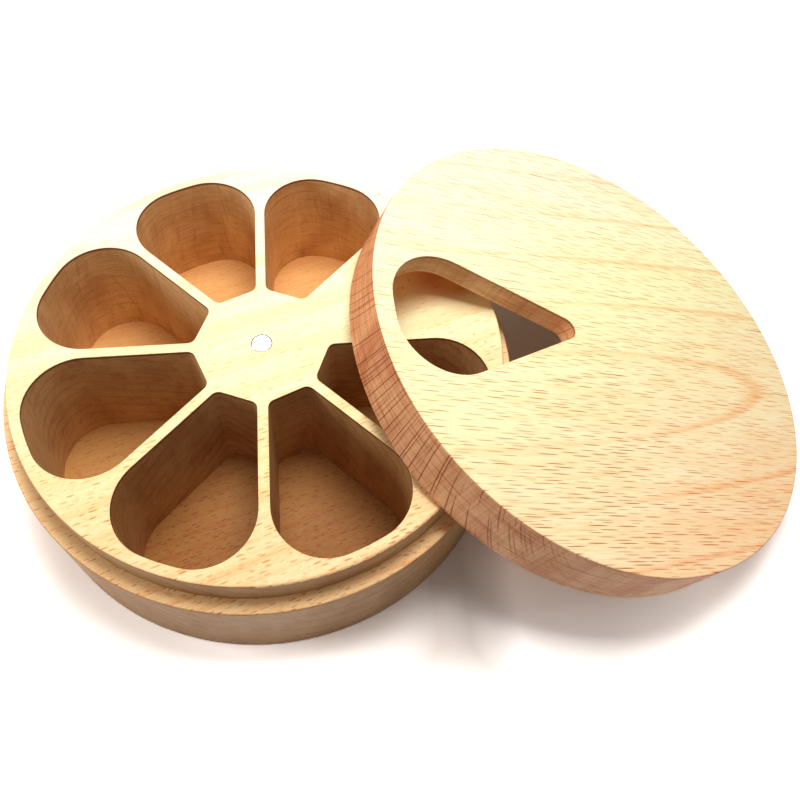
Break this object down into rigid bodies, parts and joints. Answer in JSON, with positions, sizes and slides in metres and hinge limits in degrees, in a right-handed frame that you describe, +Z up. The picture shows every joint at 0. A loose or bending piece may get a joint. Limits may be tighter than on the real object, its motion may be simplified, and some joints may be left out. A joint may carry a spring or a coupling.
{
  "type": "pill organizer",
  "caption": "Round wooden pill organizer: a tray of wedge pockets round a magnet, and a turning lid with one window, shown taken off and leaning on the tray.",
  "frame": {"origin": "centre of the tray's round underside, on the table", "axes": "+Z up out of the tray; +X level, from the tray towards the lid that leans against it; +Y level, away from the picture's viewer"},
  "size_m": [0.2057, 0.125, 0.058],
  "materials": {
    "tray_wood": "satin",
    "lid_wood": "satin",
    "magnet_nickel": "satin"
  },
  "bodies": {
    "tray": {"tray": "tray_wood", "tray_magnet": "magnet_nickel"},
    "lid_magnet": {"lid_magnet": "magnet_nickel"},
    "lid": {"lid": "lid_wood"}
  },
  "joints": [
    {"name": "lid_swing", "type": "hinge", "parent": "tray", "child": "lid_magnet", "pos_m": [-0.00076, 0, -0.18779], "axis": [0, -1, 0], "range_deg": [0, 20.75]},
    {"name": "lid_turn", "type": "hinge", "parent": "lid_magnet", "child": "lid", "pos_m": [0.07963, 0, 0.02224], "axis": [0.3543, 0, 0.9351], "continuous": true}
  ]
}
